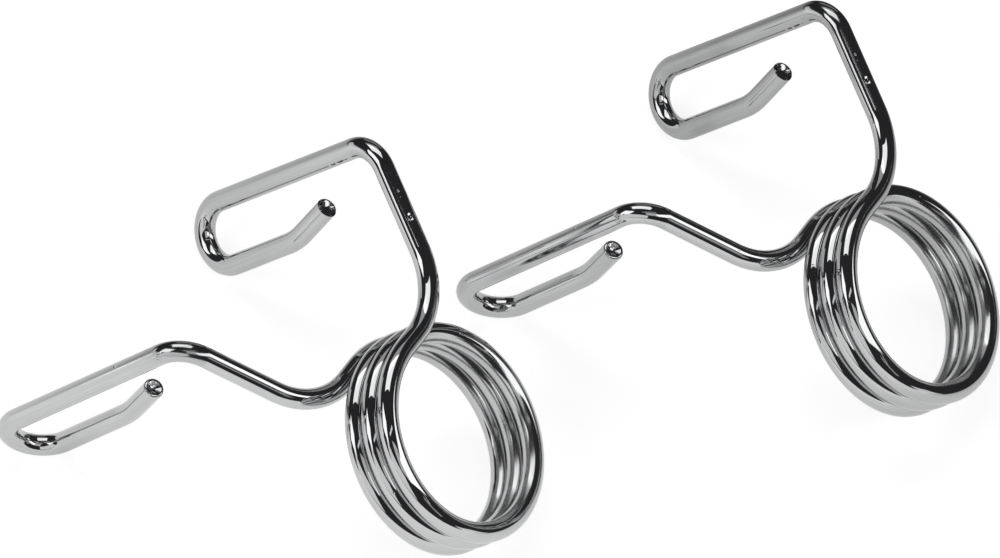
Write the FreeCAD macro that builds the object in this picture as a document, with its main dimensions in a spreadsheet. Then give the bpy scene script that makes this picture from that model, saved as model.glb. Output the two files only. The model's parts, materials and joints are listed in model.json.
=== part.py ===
import FreeCAD, Part

# Pair of squeeze-open spring collars for a 50 mm bar sleeve, lying free on a flat floor.
# Each collar is one length of round spring wire: a close coil that grips the sleeve, and two
# levers, which a hand squeezes together to open the coil. Lengths are in mm, angles in degrees.
# A collar is laid out in its own frame, with the coil's axis along Z, the front turn at the
# bottom of Z and the levers on the +X side, and is then turned to the way it lies on the floor.

import math
import os

from FreeCAD import Placement, Rotation, Vector

SIZES = (
    ("wire_diameter", 5.5, "round spring wire"),
    ("coil_bore", 48.0, "free bore, a little under the 50 mm sleeve that it grips"),
    ("coil_turns", 3, "whole turns round the sleeve"),
    ("turn_gap", 0.45, "free gap between neighbouring turns"),
    ("lead_run", 5.4, "straight from the coil to the lever's broad bend"),
    ("lead_bend_radius", 23.5, "broad bend, on the wire's centre line"),
    ("lead_bend_angle", 63.5, "how far the broad bend turns the wire outwards"),
    ("arm_run", 22.4, "straight of the arm, between its two bends"),
    ("arm_lean", 6.5, "how far the arm leans to the rear"),
    ("corner_radius", 8.5, "corner from the arm to the grip, on the centre line"),
    ("grip_run", 52.6, "straight that the hand presses"),
    ("grip_flare", 0.5, "how far the grip swings away from the coil's axis to the rear"),
    ("grip_splay", 3.0, "how far each grip swings away from the other one to the rear"),
    ("hook_radius", 8.4, "half-round hook at the grip's end, on the centre line"),
    ("hook_turn", 5.5, "how far the hook's plane is turned towards the other lever"),
    ("return_run", 22.3, "straight from the hook back beside the grip"),
    ("tip_bend_radius", 10.0, "slight bend before the tip, on the centre line"),
    ("tip_bend_angle", 20.0, "how far the tip leans back to the grip"),
    ("tip_run", 13.5, "straight of the tip"),
    ("pair_shift_x", 102.2, "from the left collar to the right one, along X"),
    ("pair_shift_y", 74.4, "from the left collar to the right one, along Y"),
)

# Counts, and the share of a turn that one pair of arcs covers
ARC_PAIR_SHARE = 0.25
PATH_POINTS = 400
SETTLING_STEPS = 12

AXIS = Vector(0, 0, 1)
FRONT = Vector(1, 0, 0)
ACROSS = Vector(0, 1, 0)

# Spreadsheet of the driving sizes
document = FreeCAD.newDocument("spring_collars")
sheet = document.addObject("Spreadsheet::Sheet", "Sizes")
for row, (alias, value, meaning) in enumerate(SIZES, start=1):
    sheet.set(f"A{row}", alias)
    sheet.set(f"B{row}", str(value))
    sheet.set(f"C{row}", meaning)
    sheet.setAlias(f"B{row}", alias)
document.recompute()

coil_radius = (sheet.coil_bore + sheet.wire_diameter) / 2
turns = round(sheet.coil_turns)
pitch = sheet.wire_diameter + sheet.turn_gap


# Paths of the wire's centre line

def bend_edge(start, corner, end):
    """Arc from start to end, tangent there to the lines that meet at the corner."""
    middle = (start + end) / 2
    cosine = (start - middle).Length / (start - corner).Length
    crown = middle + (corner - middle) * (cosine / (1 + cosine))
    return Part.Arc(start, crown, end).toShape()


def bent_path(start, headings, runs, radii):
    """Straight runs along the headings, with a bend of the given radius between each two."""
    edges = []
    here = start
    for number, (heading, run) in enumerate(zip(headings, runs)):
        if number:
            before = headings[number - 1]
            reach = radii[number - 1] * math.tan(before.getAngle(heading) / 2)
            corner = here + before * reach
            there = corner + heading * reach
            edges.append(bend_edge(here, corner, there))
            here = there
        if run:
            there = here + heading * run
            edges.append(Part.LineSegment(here, there).toShape())
            here = there
    return Part.Wire(edges), here


def helix_point(angle):
    """Centre of the wire in the left-hand coil, at an angle in radians from its front end."""
    return Vector(
        coil_radius * math.cos(angle),
        -coil_radius * math.sin(angle),
        pitch * angle / math.tau,
    )


def helix_heading(angle):
    """Heading of the wire there, towards the coil's rear end."""
    heading = Vector(
        -coil_radius * math.sin(angle),
        -coil_radius * math.cos(angle),
        pitch / math.tau,
    )
    return heading.normalize()


def biarc_edges(start, leaving, end, arriving):
    """Two arcs from start to end, tangent to both headings and to each other."""
    chord = end - start
    spread = 2 * (1 - leaving.dot(arriving))
    along = chord.dot(leaving + arriving)
    reach = (math.sqrt(along**2 + spread * chord.dot(chord)) - along) / spread
    first_corner = start + leaving * reach
    second_corner = end - arriving * reach
    joint = (first_corner + second_corner) / 2
    return [bend_edge(start, first_corner, joint), bend_edge(joint, second_corner, end)]


def coil_path():
    edges = []
    step = math.tau * ARC_PAIR_SHARE
    for pair in range(round(turns / ARC_PAIR_SHARE)):
        start = step * pair
        end = step * (pair + 1)
        edges += biarc_edges(
            helix_point(start), helix_heading(start), helix_point(end), helix_heading(end)
        )
    return Part.Wire(edges)


def lever_paths(start, leaving):
    """Arm and grip of one lever: each one's path, first point and first heading."""
    side = math.copysign(1, leaving.y)
    bend = math.radians(sheet.lead_bend_angle)
    outwards = Vector(math.sin(bend), side * math.cos(bend), 0)
    apart = Vector(-math.cos(bend), side * math.sin(bend), 0)

    lean = math.radians(sheet.arm_lean)
    arm = outwards * math.cos(lean) + AXIS * math.sin(lean)
    flare = math.tan(math.radians(sheet.grip_flare))
    splay = math.tan(math.radians(sheet.grip_splay))
    grip = (AXIS + outwards * flare + apart * splay).normalize()

    # The hook lies in the plane of the grip and of a heading back towards the coil
    square = (outwards - grip * outwards.dot(grip)).normalize()
    together = square.cross(grip) * side
    turn = math.radians(sheet.hook_turn)
    inwards = together * math.sin(turn) - square * math.cos(turn)
    tip_bend = math.radians(sheet.tip_bend_angle)
    tip = -grip * math.cos(tip_bend) - inwards * math.sin(tip_bend)

    arm_path, arm_end = bent_path(
        start,
        (leaving, arm),
        (sheet.lead_run, sheet.arm_run),
        (sheet.lead_bend_radius,),
    )
    grip_path, _ = bent_path(
        arm_end,
        (arm, grip, inwards, -grip, tip),
        (0, sheet.grip_run, 0, sheet.return_run, sheet.tip_run),
        (sheet.corner_radius, sheet.hook_radius, sheet.hook_radius, sheet.tip_bend_radius),
    )
    return (arm_path, start, leaving), (grip_path, arm_end, arm)


# One collar's stretches of wire, from the front lever's tip to the rear lever's tip
rear_end = math.tau * turns
front_arm, front_grip = lever_paths(helix_point(0), -helix_heading(0))
rear_arm, rear_grip = lever_paths(helix_point(rear_end), helix_heading(rear_end))
stretches = {
    "front_grip": front_grip,
    "front_arm": front_arm,
    "coil": (coil_path(), helix_point(0), helix_heading(0)),
    "rear_arm": rear_arm,
    "rear_grip": rear_grip,
}
measured = {
    name: path.discretize(Number=PATH_POINTS) for name, (path, _, _) in stretches.items()
}


# The way a collar lies on the floor

def resting_turn(groups):
    """Turn that lays a collar on the lowest point of each group, with its front towards +X."""
    contacts = [sum(group, Vector()) / len(group) for group in groups]
    for _ in range(SETTLING_STEPS):
        first, second, third = contacts
        up = (second - first).cross(third - first).normalize()
        if up.dot(AXIS) > 0:
            up = -up
        contacts = [min(group, key=up.dot) for group in groups]
    front = (up * AXIS.dot(up) - AXIS).normalize()
    own_axes = Rotation(front, up.cross(front), up, "XYZ")
    floor_axes = Rotation(FRONT, ACROSS, AXIS, "XYZ")
    return floor_axes.multiply(own_axes.inverted())


# Solids

def add_centre_line(name, path):
    centre_line = document.addObject("Part::Feature", f"{name}_centre_line")
    centre_line.Shape = path
    return centre_line


def add_section(name, start, heading):
    section = document.addObject("Part::Circle", f"{name}_section")
    section.setExpression("Radius", "Sizes.wire_diameter / 2")
    section.Placement = Placement(start, Rotation(AXIS, heading))
    return section


def add_wire(label, section, centre_line, place):
    """Round wire: its section, swept along its centre line."""
    wire = document.addObject("Part::Sweep", label)
    wire.Label = label
    wire.Sections = [section]
    edges = [f"Edge{number}" for number, _ in enumerate(centre_line.Shape.Edges, start=1)]
    wire.Spine = (centre_line, edges)
    wire.Solid = True
    wire.Frenet = False
    wire.Placement = place
    return wire


resting = resting_turn([measured["front_grip"], measured["rear_grip"], measured["coil"]])
shifts = {
    "left": Vector(0, 0, 0),
    "right": Vector(sheet.pair_shift_x, sheet.pair_shift_y, 0),
}
wires = {}
for name, (path, start, heading) in stretches.items():
    centre_line = add_centre_line(name, path)
    section = add_section(name, start, heading)
    for side, shift in shifts.items():
        label = f"{side}_{name}"
        wires[label] = add_wire(label, section, centre_line, Placement(shift, resting))
document.recompute()

# The floor is at zero, with the origin under the middle of the pair
box = FreeCAD.BoundBox()
for wire in wires.values():
    box.add(wire.Shape.optimalBoundingBox(False, False))
centring = Vector(-box.Center.x, -box.Center.y, -box.ZMin)
for wire in wires.values():
    wire.Placement = Placement(wire.Placement.Base + centring, resting)
document.recompute()

for item in document.Objects:
    if "Invalid" in item.State or "Error" in item.State:
        raise RuntimeError(f"{item.Label} did not build: {item.State}")
for label, wire in wires.items():
    if wire.Shape.isNull() or not wire.Shape.isValid():
        raise RuntimeError(f"{label} has no valid solid")


# Measures, and the gap that the wire keeps to itself

def least_gap(points):
    """Least gap between parts of one wire that are more than its girth apart along it."""
    travelled = [0]
    for before, after in zip(points, points[1:]):
        travelled.append(travelled[-1] + before.distanceToPoint(after))
    apart = math.pi * sheet.wire_diameter
    distances = (
        point.distanceToPoint(other)
        for first, point in enumerate(points)
        for second, other in enumerate(points[first:], start=first)
        if travelled[second] - travelled[first] > apart
    )
    return min(distances) - sheet.wire_diameter


whole_wire = []
for name, points in measured.items():
    whole_wire += reversed(points) if name.startswith("front") else points
print(f"least gap of the wire to itself {least_gap(whole_wire):.3f}")
section_area = math.pi * sheet.wire_diameter**2 / 4
for name, (path, _, _) in stretches.items():
    swept = wires[f"left_{name}"].Shape.Volume / (section_area * path.Length)
    print(f"{name}: length {path.Length:.2f}, volume over section times length {swept:.6f}")
middle = Vector(0, 0, pitch * turns / 2)
for side in shifts:
    place = wires[f"{side}_coil"].Placement
    print(f"{side} coil: middle {place.multVec(middle)}, rear {resting.multVec(AXIS)}")
print(f"box {box.XLength:.3f} x {box.YLength:.3f} x {box.ZLength:.3f}")

os.makedirs("parts", exist_ok=True)
for label, wire in wires.items():
    wire.Shape.exportStep(f"parts/{label}.step")
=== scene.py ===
import json
import math

import bpy
from mathutils import Matrix, Vector, noise


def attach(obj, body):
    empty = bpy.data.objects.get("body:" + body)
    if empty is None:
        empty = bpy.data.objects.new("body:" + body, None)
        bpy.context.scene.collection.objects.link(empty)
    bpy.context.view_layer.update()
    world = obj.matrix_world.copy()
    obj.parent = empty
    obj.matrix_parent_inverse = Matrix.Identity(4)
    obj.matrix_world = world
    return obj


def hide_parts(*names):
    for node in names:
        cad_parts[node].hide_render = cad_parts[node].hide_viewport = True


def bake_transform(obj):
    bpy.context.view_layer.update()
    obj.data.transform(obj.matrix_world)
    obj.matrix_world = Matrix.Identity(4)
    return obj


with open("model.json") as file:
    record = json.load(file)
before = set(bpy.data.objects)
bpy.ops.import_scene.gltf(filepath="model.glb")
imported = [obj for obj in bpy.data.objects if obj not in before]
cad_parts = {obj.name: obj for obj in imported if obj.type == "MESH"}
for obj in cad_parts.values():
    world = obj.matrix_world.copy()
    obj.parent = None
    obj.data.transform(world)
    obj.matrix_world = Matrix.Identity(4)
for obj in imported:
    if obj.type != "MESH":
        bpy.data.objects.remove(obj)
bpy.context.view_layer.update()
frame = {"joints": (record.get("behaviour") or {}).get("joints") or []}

# Pair of chromed spring collars for a 50 mm bar sleeve, lying on a pale floor.
# A collar is drawn in its own frame, with the coil's axis along Z, the front turn at the bottom
# of Z and the levers on the +X side, and is then turned to the way that it lies on the floor.

# Sizes of the wire and its bends, as in the part's source
MM = 0.001
WIRE_RADIUS = 2.75 * MM
COIL_RADIUS = 26.75 * MM
COIL_PITCH = 5.95 * MM
COIL_TURNS = 3
LEAD_RUN = 5.4 * MM
LEAD_BEND_RADIUS = 23.5 * MM
LEAD_BEND = math.radians(63.5)
ARM_RUN = 22.4 * MM
ARM_LEAN = math.radians(6.5)
CORNER_RADIUS = 8.5 * MM
GRIP_RUN = 52.6 * MM
GRIP_FLARE = math.radians(0.5)
GRIP_SPLAY = math.radians(3.0)
HOOK_RADIUS = 8.4 * MM
HOOK_TURN = math.radians(5.5)
RETURN_RUN = 22.3 * MM
TIP_BEND_RADIUS = 10.0 * MM
TIP_BEND = math.radians(20.0)
TIP_RUN = 13.5 * MM

# The tip's slight bend is drawn rounder than in the solids, between the same two straights,
# which moves the wire by a tenth of a millimetre
ROUND_TIP_RADIUS = 18.0 * MM
ROUNDING = (ROUND_TIP_RADIUS - TIP_BEND_RADIUS) * math.tan(TIP_BEND / 2)

# How far the levers are turned round the coil's axis from straight up, as the collar lies
LEVER_TURN = math.radians(18.462)

# Fineness of the drawn wire, and the sharpest edge that is still shaded as round
RING_POINTS = 48
BEND_STEP = math.radians(2.0)
COIL_STEP = math.radians(1.0)
JOINING_STEP = 0.1 * MM
SMOOTH_LIMIT = math.radians(35)

# Cut end of the wire: a rounded rim, and a face that the shears left hollow, chipped and gritty.
# The hollow's walls sink from the rim towards the middle, and chips sink from the middle outwards.
# Each is given by its bearing round the wire in degrees, how far from the middle it is level with
# the rim's top in mm, and its slope. No chip cuts away the foot, a low slope that rises from the
# wire's edge.
RIM_RADIUS = 0.7 * MM
RIM_STEPS = 5
FACE_RINGS = 12
FOOT_WIDTH = 0.6 * MM
FOOT_SLOPE = 0.3
HOLLOW_ROUNDING = 0.12 * MM
GRIT_SPACING = 0.4 * MM
CUT_FACES = {
    "front": {
        "walls": (
            (172, 2.1, 0.8),
            (236, 2.1, 0.6),
            (130, 2.1, 0.7),
            (205, 2.1, 1.3),
            (290, 2.1, 0.6),
        ),
        "chips": ((350, 0.0, 0.45), (95, 0.3, 0.5), (135, 1.6, 0.5)),
        "depth": 0.95 * MM,
        "grit": 0.008 * MM,
    },
    "rear": {
        "walls": (
            (15, 1.95, 0.38),
            (60, 2.0, 0.5),
            (120, 2.0, 0.5),
            (170, 2.0, 0.5),
            (215, 1.8, 0.5),
            (268, 1.95, 0.5),
            (312, 2.1, 0.5),
        ),
        "chips": ((185, 2.1, 0.45), (75, 2.3, 0.5)),
        "depth": 0.9 * MM,
        "grit": 0.04 * MM,
    },
}

# Places along the wire are counted from the coil's front end, and a metre further on for the
# right collar, so that its haze and specks lie elsewhere than on the left one. Marks from forming
# are the same on both, so for them every place is counted back into the metre that starts here.
RIGHT_COLLAR_COUNT = 1.0
COUNT_START = -0.25

AXIS = Vector((0, 0, 1))


# Wire drawn ring by ring

def facing(point, heading, outwards):
    """Place of a ring of wire: its Z along the wire, and its X towards outwards."""
    across = heading.cross(outwards).normalized()
    place = Matrix((across.cross(heading), across, heading)).transposed().to_4x4()
    place.translation = point
    return place


def ring_primitive(name, place):
    """New piece that is one open ring of the wire."""
    bpy.ops.object.select_all(action="DESELECT")
    bpy.ops.mesh.primitive_circle_add(vertices=RING_POINTS, radius=WIRE_RADIUS)
    piece = bpy.context.object
    piece.name = name
    piece.data.name = name
    piece.matrix_world = place
    bpy.ops.object.transform_apply(location=True, rotation=True, scale=True)
    return piece


class Wire:
    """A stretch of round wire, drawn from one end to the other in edit mode."""

    def __init__(self, name, place):
        self.piece = ring_primitive(name, place)
        self.rings = [place.copy()]
        self.drawn = [0.0]
        bpy.ops.object.mode_set(mode="EDIT")
        bpy.ops.mesh.select_all(action="SELECT")

    def heading(self):
        return self.rings[-1].col[2].xyz

    def note_ring(self, place, length):
        self.rings.append(place)
        self.drawn.append(self.drawn[-1] + length)

    def run(self, length):
        """Straight ahead, with a short step at both ends that keeps the shading true."""
        for step in (JOINING_STEP, length - 2 * JOINING_STEP, JOINING_STEP):
            shift = self.heading() * step
            bpy.ops.mesh.extrude_region_move(TRANSFORM_OT_translate={"value": shift})
            self.note_ring(Matrix.Translation(shift) @ self.rings[-1], step)

    def bend(self, heading, radius):
        """Round to a new heading, again with a short step at both ends."""
        before = self.heading()
        axis = before.cross(heading).normalized()
        centre = self.rings[-1].translation + axis.cross(before) * radius
        joining = JOINING_STEP / radius
        middle = before.angle(heading) - 2 * joining
        for angle, steps in ((joining, 1), (middle, math.ceil(middle / BEND_STEP)), (joining, 1)):
            # The spin turns clockwise round its axis
            bpy.ops.mesh.spin(steps=steps, angle=angle, center=centre, axis=-axis)
            step = Matrix.Rotation(angle / steps, 4, axis)
            about_centre = Matrix.Translation(centre) @ step @ Matrix.Translation(-centre)
            for _ in range(steps):
                self.note_ring(about_centre @ self.rings[-1], radius * angle / steps)

    def cut_off(self, cut_face):
        """Closes the wire with a rounded rim and the broken face that the shears leave."""
        bpy.ops.mesh.edge_face_add()
        quarter = [math.pi / 2 * step / RIM_STEPS for step in range(RIM_STEPS + 1)]
        for low, high in zip(quarter, quarter[1:]):
            # The open end's face looks back into the wire, so that a step outwards is negative
            bpy.ops.mesh.inset(
                thickness=RIM_RADIUS * (math.cos(low) - math.cos(high)),
                depth=RIM_RADIUS * (math.sin(low) - math.sin(high)),
            )
        face_radius = WIRE_RADIUS - RIM_RADIUS
        for _ in range(FACE_RINGS - 1):
            bpy.ops.mesh.inset(thickness=face_radius / FACE_RINGS)
        bpy.ops.mesh.poke()
        bpy.ops.object.mode_set(mode="OBJECT")
        shear_face(self.piece.data, self.rings, cut_face)
        bpy.ops.object.mode_set(mode="EDIT")

    def finish(self, start, sense):
        """Notes each point's place on the straight wire, and leaves edit mode."""
        bpy.ops.object.mode_set(mode="OBJECT")
        note_straight_wire(self.piece.data, self.rings, self.drawn, start, sense)
        return self.piece


def past(place, towards, start):
    """How far a point of the cut end lies past a line across it, start mm from the middle."""
    towards = math.radians(towards)
    return place.x * math.cos(towards) + place.y * math.sin(towards) - start * MM


def shear_face(mesh, rings, cut_face):
    """Cuts the hollow and the chips into the end, with the points moved back into the wire."""
    back = rings[-1].inverted()
    heading = rings[-1].col[2].xyz
    for vertex in mesh.vertices[(len(rings) - 1) * RING_POINTS:]:
        place = back @ vertex.co
        hollow = [-slope * past(place, *line) for *line, slope in cut_face["walls"]]
        hollow.append(cut_face["depth"])
        # Soft minimum, so that the hollow's walls and floor run into each other roundly
        weight = sum(math.exp(-wall / HOLLOW_ROUNDING) for wall in hollow)
        depth = -HOLLOW_ROUNDING * math.log(weight)
        for *line, slope in cut_face["chips"]:
            depth = max(depth, slope * past(place, *line))
        from_edge = WIRE_RADIUS - math.hypot(place.x, place.y)
        fading = min(1, from_edge / RIM_RADIUS)
        depth += cut_face["grit"] * noise.noise(place / GRIT_SPACING) * fading
        height = RIM_RADIUS - depth
        if from_edge < FOOT_WIDTH:
            height = max(height, FOOT_SLOPE * from_edge)
        vertex.co += heading * min(0, height - place.z)


def note_straight_wire(mesh, rings, drawn, start, sense):
    """Keeps where each point was on the wire before it was bent, for what follows the wire."""
    backs = [place.inverted() for place in rings]
    straight = mesh.attributes.new("straight_wire", "FLOAT_VECTOR", "POINT")
    for vertex in mesh.vertices:
        ring = min(vertex.index // RING_POINTS, len(rings) - 1)
        across = backs[ring] @ vertex.co
        along = start + sense * (drawn[ring] + across.z)
        straight.data[vertex.index].vector = (across.x, sense * across.y, along)


# One collar, in its own frame

def helix_place(angle):
    """Ring of the left-hand coil, at an angle from its front end."""
    outwards = Vector((math.cos(angle), -math.sin(angle), 0))
    round_coil = Vector((-math.sin(angle), -math.cos(angle), 0)) * COIL_RADIUS
    heading = (round_coil + AXIS * COIL_PITCH / math.tau).normalized()
    rise = AXIS * COIL_PITCH * angle / math.tau
    return facing(outwards * COIL_RADIUS + rise, heading, outwards)


def coil_length(angle):
    """Length of the wire in the coil, from its front end to an angle."""
    return angle * math.hypot(COIL_RADIUS, COIL_PITCH / math.tau)


def wind_coil(name, first, last):
    """Wire wound from one angle to another."""
    piece = ring_primitive(name, helix_place(first))
    steps = round((last - first) / COIL_STEP)
    winding = piece.modifiers.new("winding", "SCREW")
    winding.angle = first - last
    winding.screw_offset = COIL_PITCH * (last - first) / math.tau
    winding.steps = steps
    winding.render_steps = steps
    winding.use_merge_vertices = False
    bpy.ops.object.modifier_apply(modifier="winding")
    angles = [first + (last - first) * step / steps for step in range(steps + 1)]
    rings = [helix_place(angle) for angle in angles]
    drawn = [coil_length(angle - first) for angle in angles]
    note_straight_wire(piece.data, rings, drawn, coil_length(first), 1)
    return piece


def draw_lever(end):
    """Arm and grip of the front or the rear lever."""
    sense = 1 if end == "rear" else -1
    angle = math.tau * COIL_TURNS if end == "rear" else 0
    ring = helix_place(angle)
    leaving = ring.col[2].xyz * sense
    outwards = Vector((math.sin(LEAD_BEND), -sense * math.cos(LEAD_BEND), 0))
    apart = Vector((-math.cos(LEAD_BEND), -sense * math.sin(LEAD_BEND), 0))
    arm = outwards * math.cos(ARM_LEAN) + AXIS * math.sin(ARM_LEAN)
    grip = (AXIS + outwards * math.tan(GRIP_FLARE) + apart * math.tan(GRIP_SPLAY)).normalized()

    # The hook lies in the plane of the grip and of a heading back towards the coil
    square = (outwards - grip * outwards.dot(grip)).normalized()
    together = square.cross(grip) * -sense
    inwards = together * math.sin(HOOK_TURN) - square * math.cos(HOOK_TURN)
    tip = -grip * math.cos(TIP_BEND) - inwards * math.sin(TIP_BEND)

    arm_wire = Wire(f"{end}_arm", facing(ring.translation, leaving, ring.col[0].xyz))
    arm_wire.run(LEAD_RUN)
    arm_wire.bend(arm, LEAD_BEND_RADIUS)
    arm_wire.run(ARM_RUN)
    arm_start = coil_length(angle)
    arm_piece = arm_wire.finish(arm_start, sense)

    grip_wire = Wire(f"{end}_grip", arm_wire.rings[-1])
    grip_wire.bend(grip, CORNER_RADIUS)
    grip_wire.run(GRIP_RUN)
    grip_wire.bend(inwards, HOOK_RADIUS)
    grip_wire.bend(-grip, HOOK_RADIUS)
    grip_wire.run(RETURN_RUN - ROUNDING)
    grip_wire.bend(tip, ROUND_TIP_RADIUS)
    grip_wire.run(TIP_RUN - ROUNDING - RIM_RADIUS)
    grip_wire.cut_off(CUT_FACES[end])
    grip_piece = grip_wire.finish(arm_start + sense * arm_wire.drawn[-1], sense)
    return arm_piece, grip_piece


def tidy_skin(piece):
    """Closes the open ends, turns the faces outwards and rounds the shading."""
    bpy.ops.object.select_all(action="DESELECT")
    piece.select_set(True)
    bpy.context.view_layer.objects.active = piece
    bpy.ops.object.mode_set(mode="EDIT")
    bpy.ops.mesh.select_all(action="SELECT")
    bpy.ops.mesh.fill_holes(sides=RING_POINTS)
    bpy.ops.mesh.select_all(action="SELECT")
    bpy.ops.mesh.normals_make_consistent(inside=False)
    bpy.ops.object.mode_set(mode="OBJECT")
    bpy.ops.object.shade_smooth_by_angle(angle=SMOOTH_LIMIT)


# Finishes

def add_group(name, inputs, output):
    """Node group with a vector input, the named number inputs and one number output."""
    group = bpy.data.node_groups.new(name, "ShaderNodeTree")
    group.interface.new_socket("Straight wire", in_out="INPUT", socket_type="NodeSocketVector")
    for label, value in inputs:
        socket = group.interface.new_socket(label, in_out="INPUT", socket_type="NodeSocketFloat")
        socket.default_value = value
    group.interface.new_socket(output, in_out="OUTPUT", socket_type="NodeSocketFloat")
    entry = group.nodes.new("NodeGroupInput")
    leaving = group.nodes.new("NodeGroupOutput")
    return group, entry, leaving


def add_math(tree, operation, *operands):
    """Math node; each operand is a socket or a number."""
    node = tree.nodes.new("ShaderNodeMath")
    node.operation = operation
    for socket, value in zip(node.inputs, operands):
        if isinstance(value, (int, float)):
            socket.default_value = value
        else:
            tree.links.new(value, socket)
    return node.outputs["Value"]


def add_range(tree, value, low, high, to_low, to_high):
    """Smooth step, from one number at low to another at high."""
    node = tree.nodes.new("ShaderNodeMapRange")
    node.interpolation_type = "SMOOTHSTEP"
    tree.links.new(value, node.inputs["Value"])
    node.inputs["From Min"].default_value = low
    node.inputs["From Max"].default_value = high
    node.inputs["To Min"].default_value = to_low
    node.inputs["To Max"].default_value = to_high
    return node.outputs["Result"]


def stretched(tree, vector, stretch):
    """The place on the straight wire, with lengths along the wire divided by stretch."""
    node = tree.nodes.new("ShaderNodeVectorMath")
    node.operation = "MULTIPLY"
    tree.links.new(vector, node.inputs[0])
    node.inputs[1].default_value = (1, 1, 1 / stretch)
    return node.outputs["Vector"]


def add_noise(tree, vector, scale, detail):
    """Noise; its scale is a socket."""
    node = tree.nodes.new("ShaderNodeTexNoise")
    node.inputs["Detail"].default_value = detail
    tree.links.new(vector, node.inputs["Vector"])
    tree.links.new(scale, node.inputs["Scale"])
    return node.outputs["Fac"]


def drawing_lines_group():
    """Fine lines along the wire, left by the drawing die under the plating."""
    group, entry, leaving = add_group("drawing lines", [("Lines per metre", 2600.0)], "Lines")
    along = stretched(group, entry.outputs["Straight wire"], stretch=60)
    lines = add_noise(group, along, entry.outputs["Lines per metre"], detail=3.0)
    group.links.new(lines, leaving.inputs["Lines"])
    return group


def ripple_group():
    """Slow waves of the polished plating, which bend what it mirrors."""
    group, entry, leaving = add_group("plating ripple", [("Waves per metre", 170.0)], "Ripple")
    along = stretched(group, entry.outputs["Straight wire"], stretch=4)
    waves = add_noise(group, along, entry.outputs["Waves per metre"], detail=1.5)
    group.links.new(waves, leaving.inputs["Ripple"])
    return group


# Share of the plating's cells that have no speck
CLEAN_SHARE = 0.93


def specks_group():
    """Pinholes and specks of dust under the plating, most places free of them."""
    group, entry, leaving = add_group("plating specks", [("Specks per metre", 420.0)], "Specks")
    cells = group.nodes.new("ShaderNodeTexVoronoi")
    group.links.new(entry.outputs["Straight wire"], cells.inputs["Vector"])
    group.links.new(entry.outputs["Specks per metre"], cells.inputs["Scale"])
    near = add_range(
        group, cells.outputs["Distance"], low=0.04, high=0.16, to_low=1, to_high=0
    )
    split = group.nodes.new("ShaderNodeSeparateColor")
    group.links.new(cells.outputs["Color"], split.inputs["Color"])
    few = add_math(group, "GREATER_THAN", split.outputs["Red"], CLEAN_SHARE)
    group.links.new(add_math(group, "MULTIPLY", near, few), leaving.inputs["Specks"])
    return group


# Small marks from forming and handling, the same on both collars: where they are across and
# along the straight wire, how far they reach from there, how deep they are and how high their
# lip stands, all in mm. One with a negative depth stands proud of the wire.
NICKS = (
    (1.25, -2.45, -39.9, 0.65, 0.08, 0.08),
    (1.5, -2.3, -45.1, 0.15, 0.03, 0.0),
    (1.4, -2.35, -46.9, 0.2, 0.03, 0.03),
    (2.05, -1.83, -47.8, 0.12, 0.02, 0.0),
    (1.5, -2.3, -51.7, 0.16, 0.02, 0.0),
    (1.52, 2.28, -74.4, 0.45, -0.1, 0.0),
    (1.52, 2.28, -72.0, 0.4, -0.08, 0.0),
    (1.53, 2.28, -69.0, 0.35, -0.05, 0.0),
    (2.2, 1.65, -61.7, 0.35, 0.15, 0.0),
    (1.5, 2.3, -118.0, 0.6, 0.15, 0.0),
    (-1.11, -2.51, 569.4, 0.4, 0.15, 0.05),
    (-2.12, -1.74, 569.8, 0.45, 0.15, 0.05),
    (0.54, -2.69, 584.5, 0.45, 0.25, 0.0),
)

# How many times further a mark reaches along the wire than across it, and a lip than its mark
NICK_LENGTHENING = 1.3
LIP_WIDENING = 1.8

# Fine seam across the rear hook
SEAM_PLACE = 631.9 * MM
SEAM_REACH = 0.15 * MM
SEAM_DEPTH = 0.02 * MM


def nicks_group():
    """Depth of the small marks and of the seam, in metres."""
    group, entry, leaving = add_group("forming marks", [], "Marks")
    place = group.nodes.new("ShaderNodeSeparateXYZ")
    group.links.new(entry.outputs["Straight wire"], place.inputs["Vector"])
    count_end = COUNT_START + RIGHT_COLLAR_COUNT
    along = add_math(group, "WRAP", place.outputs["Z"], count_end, COUNT_START)
    one_collar = group.nodes.new("ShaderNodeCombineXYZ")
    group.links.new(place.outputs["X"], one_collar.inputs["X"])
    group.links.new(place.outputs["Y"], one_collar.inputs["Y"])
    group.links.new(along, one_collar.inputs["Z"])
    shortened = stretched(group, one_collar.outputs["Vector"], NICK_LENGTHENING)

    past_seam = add_math(group, "SUBTRACT", along, SEAM_PLACE)
    from_seam = add_math(group, "ABSOLUTE", past_seam)
    depth = add_range(group, from_seam, 0, SEAM_REACH, SEAM_DEPTH, 0)
    for x, y, z, reach, nick_depth, lip in NICKS:
        away = group.nodes.new("ShaderNodeVectorMath")
        away.operation = "DISTANCE"
        group.links.new(shortened, away.inputs[0])
        away.inputs[1].default_value = (x * MM, y * MM, z / NICK_LENGTHENING * MM)
        distance = away.outputs["Value"]
        nick = add_range(group, distance, 0, reach * MM, nick_depth * MM, -lip * MM)
        lip_end = add_range(group, distance, reach * MM, reach * LIP_WIDENING * MM, 0, lip * MM)
        depth = add_math(group, "ADD", depth, add_math(group, "ADD", nick, lip_end))
    group.links.new(depth, leaving.inputs["Marks"])
    return group


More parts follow.
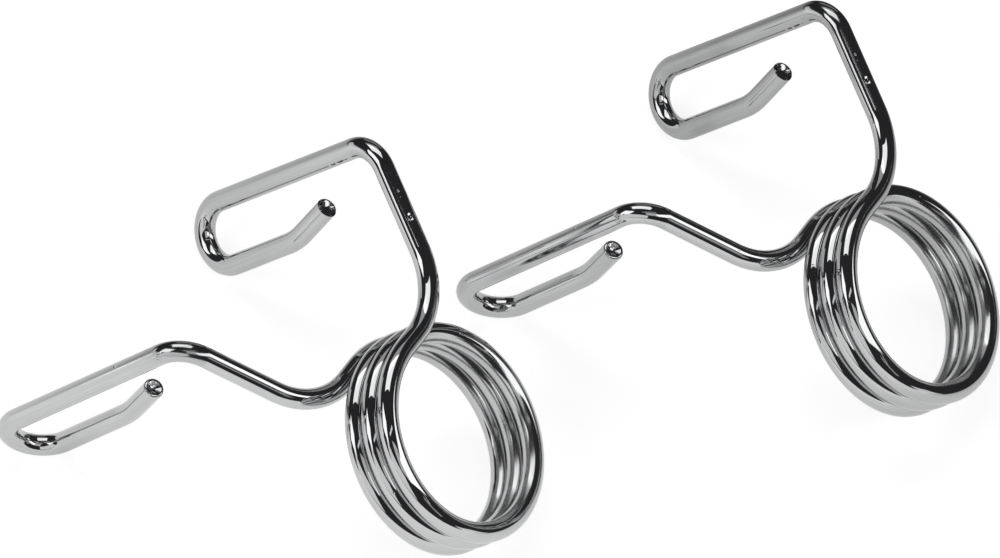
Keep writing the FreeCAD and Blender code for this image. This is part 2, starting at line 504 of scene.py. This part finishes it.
def mandrel_group():
    """Inner side of the coil, rubbed dull where it ran on the mandrel."""
    group, entry, leaving = add_group("mandrel rub", [("Lines per metre", 900.0)], "Rub")
    place = group.nodes.new("ShaderNodeSeparateXYZ")
    group.links.new(entry.outputs["Straight wire"], place.inputs["Vector"])
    inner_side = add_range(
        group, place.outputs["X"], low=-2.3 * MM, high=-0.6 * MM, to_low=1, to_high=0
    )
    along = stretched(group, entry.outputs["Straight wire"], stretch=25)
    streaks = add_noise(group, along, entry.outputs["Lines per metre"], detail=4.0)
    uneven = add_range(group, streaks, low=0.3, high=0.6, to_low=0.4, to_high=1)
    group.links.new(add_math(group, "MULTIPLY", inner_side, uneven), leaving.inputs["Rub"])
    return group


def haze_group():
    """Patches where handling has taken the brightest gloss off."""
    group, entry, leaving = add_group("handling haze", [("Patches per metre", 70.0)], "Haze")
    along = stretched(group, entry.outputs["Straight wire"], stretch=2.5)
    patches = add_noise(group, along, entry.outputs["Patches per metre"], detail=4.0)
    haze = add_range(group, patches, low=0.48, high=0.72, to_low=0, to_high=1)
    group.links.new(haze, leaving.inputs["Haze"])
    return group


SHARED = {
    "Lines": drawing_lines_group(),
    "Ripple": ripple_group(),
    "Specks": specks_group(),
    "Haze": haze_group(),
    "Marks": nicks_group(),
    "Rub": mandrel_group(),
}

CHROME_TINT = (0.565, 0.568, 0.572)
DULL_TINT = (0.42, 0.423, 0.428)
CHROME_ROUGHNESS = 0.035
SPECK_ROUGHNESS = 0.3
SPECK_DEPTH = 25e-6


def chrome(name, line_depth, ripple_depth, haze_roughness, rub_roughness, dullness):
    """Bright chrome plating on drawn wire. Depths are in metres."""
    material = bpy.data.materials.new(name)
    material.use_nodes = True
    tree = material.node_tree
    shader = tree.nodes["Principled BSDF"]
    shader.inputs["Metallic"].default_value = 1.0
    where = tree.nodes.new("ShaderNodeAttribute")
    where.attribute_name = "straight_wire"
    masks = {}
    for output, group in SHARED.items():
        node = tree.nodes.new("ShaderNodeGroup")
        node.node_tree = group
        tree.links.new(where.outputs["Vector"], node.inputs["Straight wire"])
        masks[output] = node.outputs[output]

    lines = add_math(tree, "MULTIPLY", masks["Lines"], line_depth)
    ripple = add_math(tree, "MULTIPLY", masks["Ripple"], ripple_depth)
    specks = add_math(tree, "MULTIPLY", masks["Specks"], SPECK_DEPTH)
    pitted = add_math(tree, "ADD", specks, masks["Marks"])
    height = add_math(tree, "SUBTRACT", add_math(tree, "ADD", lines, ripple), pitted)
    bump = tree.nodes.new("ShaderNodeBump")
    bump.inputs["Distance"].default_value = 1.0
    tree.links.new(height, bump.inputs["Height"])
    tree.links.new(bump.outputs["Normal"], shader.inputs["Normal"])

    roughness = add_math(tree, "MULTIPLY", masks["Haze"], haze_roughness)
    rub = add_math(tree, "MULTIPLY", masks["Rub"], rub_roughness)
    specked = add_math(tree, "MULTIPLY", masks["Specks"], SPECK_ROUGHNESS)
    for more in (rub, specked, CHROME_ROUGHNESS):
        roughness = add_math(tree, "ADD", roughness, more)
    tree.links.new(roughness, shader.inputs["Roughness"])

    grain = add_range(tree, masks["Lines"], low=0.3, high=0.7, to_low=0, to_high=0.4)
    dull = add_math(tree, "MULTIPLY", add_math(tree, "ADD", masks["Haze"], grain), dullness)
    colour = tree.nodes.new("ShaderNodeMix")
    colour.data_type = "RGBA"
    colour.inputs["A"].default_value = (*CHROME_TINT, 1)
    colour.inputs["B"].default_value = (*DULL_TINT, 1)
    tree.links.new(dull, colour.inputs["Factor"])
    tree.links.new(colour.outputs["Result"], shader.inputs["Base Color"])
    return material


FINISHES = {
    "coil": chrome(
        "bright chrome on the coil",
        line_depth=0.5e-6,
        ripple_depth=12e-6,
        haze_roughness=0.05,
        rub_roughness=0.2,
        dullness=0.35,
    ),
    "arm": chrome(
        "bright chrome on the arms",
        line_depth=0.3e-6,
        ripple_depth=8e-6,
        haze_roughness=0.05,
        rub_roughness=0.0,
        dullness=0.3,
    ),
    "grip": chrome(
        "bright chrome on the grips",
        line_depth=0.6e-6,
        ripple_depth=12e-6,
        haze_roughness=0.14,
        rub_roughness=0.0,
        dullness=0.8,
    ),
}


# Both collars, lying on the floor

def resting_place(side):
    """The way that a collar lies, from its squeeze joint."""
    squeeze = f"{side}_front_squeeze"
    joint = next(joint for joint in frame["joints"] if joint["name"] == squeeze)
    front = Vector(joint["axis"])
    lean = math.atan2(front.x, front.z)
    turned_over = Matrix.Rotation(math.pi + lean, 4, "Y") @ Matrix.Rotation(LEVER_TURN, 4, "Z")
    to_middle = Matrix.Translation(-AXIS * COIL_PITCH * COIL_TURNS / 2)
    return Matrix.Translation(joint["pos_m"]) @ turned_over @ to_middle


def lay_down(piece, side):
    """The collar's own copy of a piece, in its place on the floor."""
    copy = piece.copy()
    copy.data = piece.data.copy()
    copy.name = f"{side}_{piece.name}_wire"
    copy.data.name = copy.name
    bpy.context.scene.collection.objects.link(copy)
    copy.data.transform(resting_place(side))
    if side == "right":
        for point in copy.data.attributes["straight_wire"].data:
            point.vector.z += RIGHT_COLLAR_COUNT
    return copy


def dress(piece, side, kind):
    """The collar's own copy of a piece, with its finish."""
    copy = lay_down(piece, side)
    copy.data.materials.append(FINISHES[kind])
    return copy


def follow_twist(copy, side):
    """Half of the coil: its cut stays with the coil, its place is baked into its mesh, and the
    solid coil is hidden.
    """
    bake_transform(copy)
    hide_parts(f"{side}_coil")


half_coil = math.pi * COIL_TURNS
halves = {
    "front": wind_coil("front_coil", 0, half_coil),
    "rear": wind_coil("rear_coil", half_coil, 2 * half_coil),
}
for end, half in halves.items():
    arm, grip = draw_lever(end)
    for piece in (half, arm, grip):
        tidy_skin(piece)
    for side in ("left", "right"):
        follow_twist(dress(half, side, "coil"), side)
        for piece, kind in ((arm, "arm"), (grip, "grip")):
            copy = dress(piece, side, kind)
            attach(copy, f"{side}_{end}_lever")
            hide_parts(f"{side}_{end}_{kind}")
    for piece in (half, arm, grip):
        bpy.data.objects.remove(piece)


# Floor

PAPER_SIZE = 16.0
PAPER_SHADE = 0.6
PAPER_GLOW = 0.76

# What the wire mirrors of the paper fades to the rear between two places, and is dim in a wedge
# behind the pair. Each edge of the wedge is a line across the paper, Y = start + slope * X.
FADE_START = -0.18
FADE_END = 0.38
FADED_SHARE = 0.12
WEDGE_EDGES = ((0.0142, 0.85), (0.174, -1.5))
WEDGE_SOFTNESS = 0.02
WEDGE_SHARE = 0.2


def beyond_edge(tree, place, start, slope):
    """How far a place on the paper lies behind a line across it."""
    slanting = add_math(tree, "MULTIPLY", place.outputs["X"], slope)
    behind = add_math(tree, "SUBTRACT", place.outputs["Y"], slanting)
    behind = add_math(tree, "SUBTRACT", behind, start)
    return add_math(tree, "DIVIDE", behind, math.hypot(1, slope))


def floor_paper():
    """Pale paper that glows as if lit from below, and is partly dark for what mirrors it."""
    material = bpy.data.materials.new("pale paper")
    material.use_nodes = True
    tree = material.node_tree
    shader = tree.nodes["Principled BSDF"]
    shader.inputs["Roughness"].default_value = 0.9
    shader.inputs["Specular IOR Level"].default_value = 0.0
    shader.inputs["Emission Color"].default_value = (1, 1, 1, 1)
    where = tree.nodes.new("ShaderNodeTexCoord")
    place = tree.nodes.new("ShaderNodeSeparateXYZ")
    tree.links.new(where.outputs["Object"], place.inputs["Vector"])
    lit = add_range(tree, place.outputs["Y"], FADE_START, FADE_END, 1, FADED_SHARE)
    edges = [beyond_edge(tree, place, start, slope) for start, slope in WEDGE_EDGES]
    inside = add_math(tree, "MINIMUM", *edges)
    wedge = add_range(tree, inside, 0, WEDGE_SOFTNESS, 1, WEDGE_SHARE)
    mirrored = add_math(tree, "MULTIPLY", lit, wedge)
    rays = tree.nodes.new("ShaderNodeLightPath")
    share = add_math(tree, "MAXIMUM", rays.outputs["Is Camera Ray"], mirrored)
    shade = add_math(tree, "MULTIPLY", share, PAPER_SHADE)
    glow = add_math(tree, "MULTIPLY", share, PAPER_GLOW)
    tree.links.new(shade, shader.inputs["Base Color"])
    tree.links.new(glow, shader.inputs["Emission Strength"])
    return material


bpy.ops.object.select_all(action="DESELECT")
bpy.ops.mesh.primitive_plane_add(size=PAPER_SIZE)
floor = bpy.context.object
floor.name = "floor"
floor.data.materials.append(floor_paper())


# Lights and the room

def softbox(name, middle, across, width, height, brightness):
    """Rectangular light that faces the collars, with its width along across."""
    light = bpy.data.lights.new(name, "AREA")
    light.shape = "RECTANGLE"
    light.size = width
    light.size_y = height
    light.energy = brightness * math.pi * width * height
    back = Vector(middle).normalized()
    up = back.cross(Vector(across)).normalized()
    turn = Matrix((up.cross(back), up, back)).transposed().to_4x4()
    lamp = bpy.data.objects.new(name, light)
    lamp.matrix_world = Matrix.Translation(middle) @ turn
    lamp.visible_camera = False
    bpy.context.scene.collection.objects.link(lamp)


# Each light's name, middle, direction of its width, width and height in metres, and brightness
LIGHTS = (
    ("softbox above", (-0.7, 1.0, 2.2), (0.96, 0.13, 0.25), 2.0, 1.25, 1.45),
    ("softbox at the right", (1.9, -0.1, 1.62), (0.37, 0.88, -0.31), 2.95, 0.75, 1.75),
    ("softbox at the left", (-1.75, -0.9, 1.5), (0.68, -0.58, 0.45), 1.3, 1.15, 1.75),
    ("pale ceiling", (-0.95, 1.85, 2.15), (1, 0.3, 0), 2.2, 1.1, 0.45),
    ("pale rail overhead", (0.36, -0.72, 2.73), (0.81, 0.58, 0), 1.95, 0.12, 1.0),
    ("pale wall round the camera", (0.9, -1.55, 2.4), (1, 0.4, 0), 1.6, 1.3, 0.62),
    ("card in front", (-1.05, -3.0, 1.1), (1, 0, 0), 3.6, 2.0, 0.93),
    ("card at the left", (-3.0, 0.0, 0.25), (0, 1, 0), 2.5, 0.5, 0.8),
    ("card at the right", (3.0, 0.0, 0.2), (0, 1, 0), 1.5, 0.4, 0.9),
    ("edge of the right wall", (3.0, 0.7, 1.45), (0, 1, 0), 3.0, 0.07, 0.7),
    ("pale wall at the right", (2.6, -0.85, 1.15), (0, 1, 0), 0.6, 0.7, 0.35),
    ("far wall", (-0.3, 3.0, 0.5), (1, 0, 0), 2.0, 1.0, 0.25),
)
for light in LIGHTS:
    softbox(*light)

# The room is dark for what mirrors it, and pale where it is seen past the paper
DARK_ROOM = (0.03, 0.03, 0.032, 1)
PALE_ROOM = (0.9, 0.9, 0.9, 1)
world = bpy.data.worlds.new("studio")
world.use_nodes = True
bpy.context.scene.world = world
tree = world.node_tree
background = tree.nodes["Background"]
rays = tree.nodes.new("ShaderNodeLightPath")
surroundings = tree.nodes.new("ShaderNodeMix")
surroundings.data_type = "RGBA"
surroundings.inputs["A"].default_value = DARK_ROOM
surroundings.inputs["B"].default_value = PALE_ROOM
tree.links.new(rays.outputs["Is Camera Ray"], surroundings.inputs["Factor"])
tree.links.new(surroundings.outputs["Result"], background.inputs["Color"])


# Camera, at the photograph's viewing angle

VIEW_AZIMUTH = math.radians(6.771)
VIEW_ELEVATION = math.radians(55.940)
VIEW_ROLL = math.radians(8.206)
VIEW_DISTANCE = 6.0
VIEW_TARGET = Vector((-4.22, -22.40, 53.37)) * MM
SENSOR_WIDTH_MM = 36.0
LENS_MM = 852.6

bpy.context.scene.view_settings.view_transform = "Standard"
camera_data = bpy.data.cameras.new("camera")
camera_data.sensor_width = SENSOR_WIDTH_MM
camera_data.lens = LENS_MM
camera = bpy.data.objects.new("camera", camera_data)
aim = Matrix.Rotation(VIEW_AZIMUTH, 4, "Z") @ Matrix.Rotation(math.pi / 2 - VIEW_ELEVATION, 4, "X")
aim = aim @ Matrix.Rotation(VIEW_ROLL, 4, "Z")
camera.matrix_world = Matrix.Translation(VIEW_TARGET + aim.col[2].xyz * VIEW_DISTANCE) @ aim
bpy.context.scene.collection.objects.link(camera)
bpy.context.scene.camera = camera

bpy.context.view_layer.update()
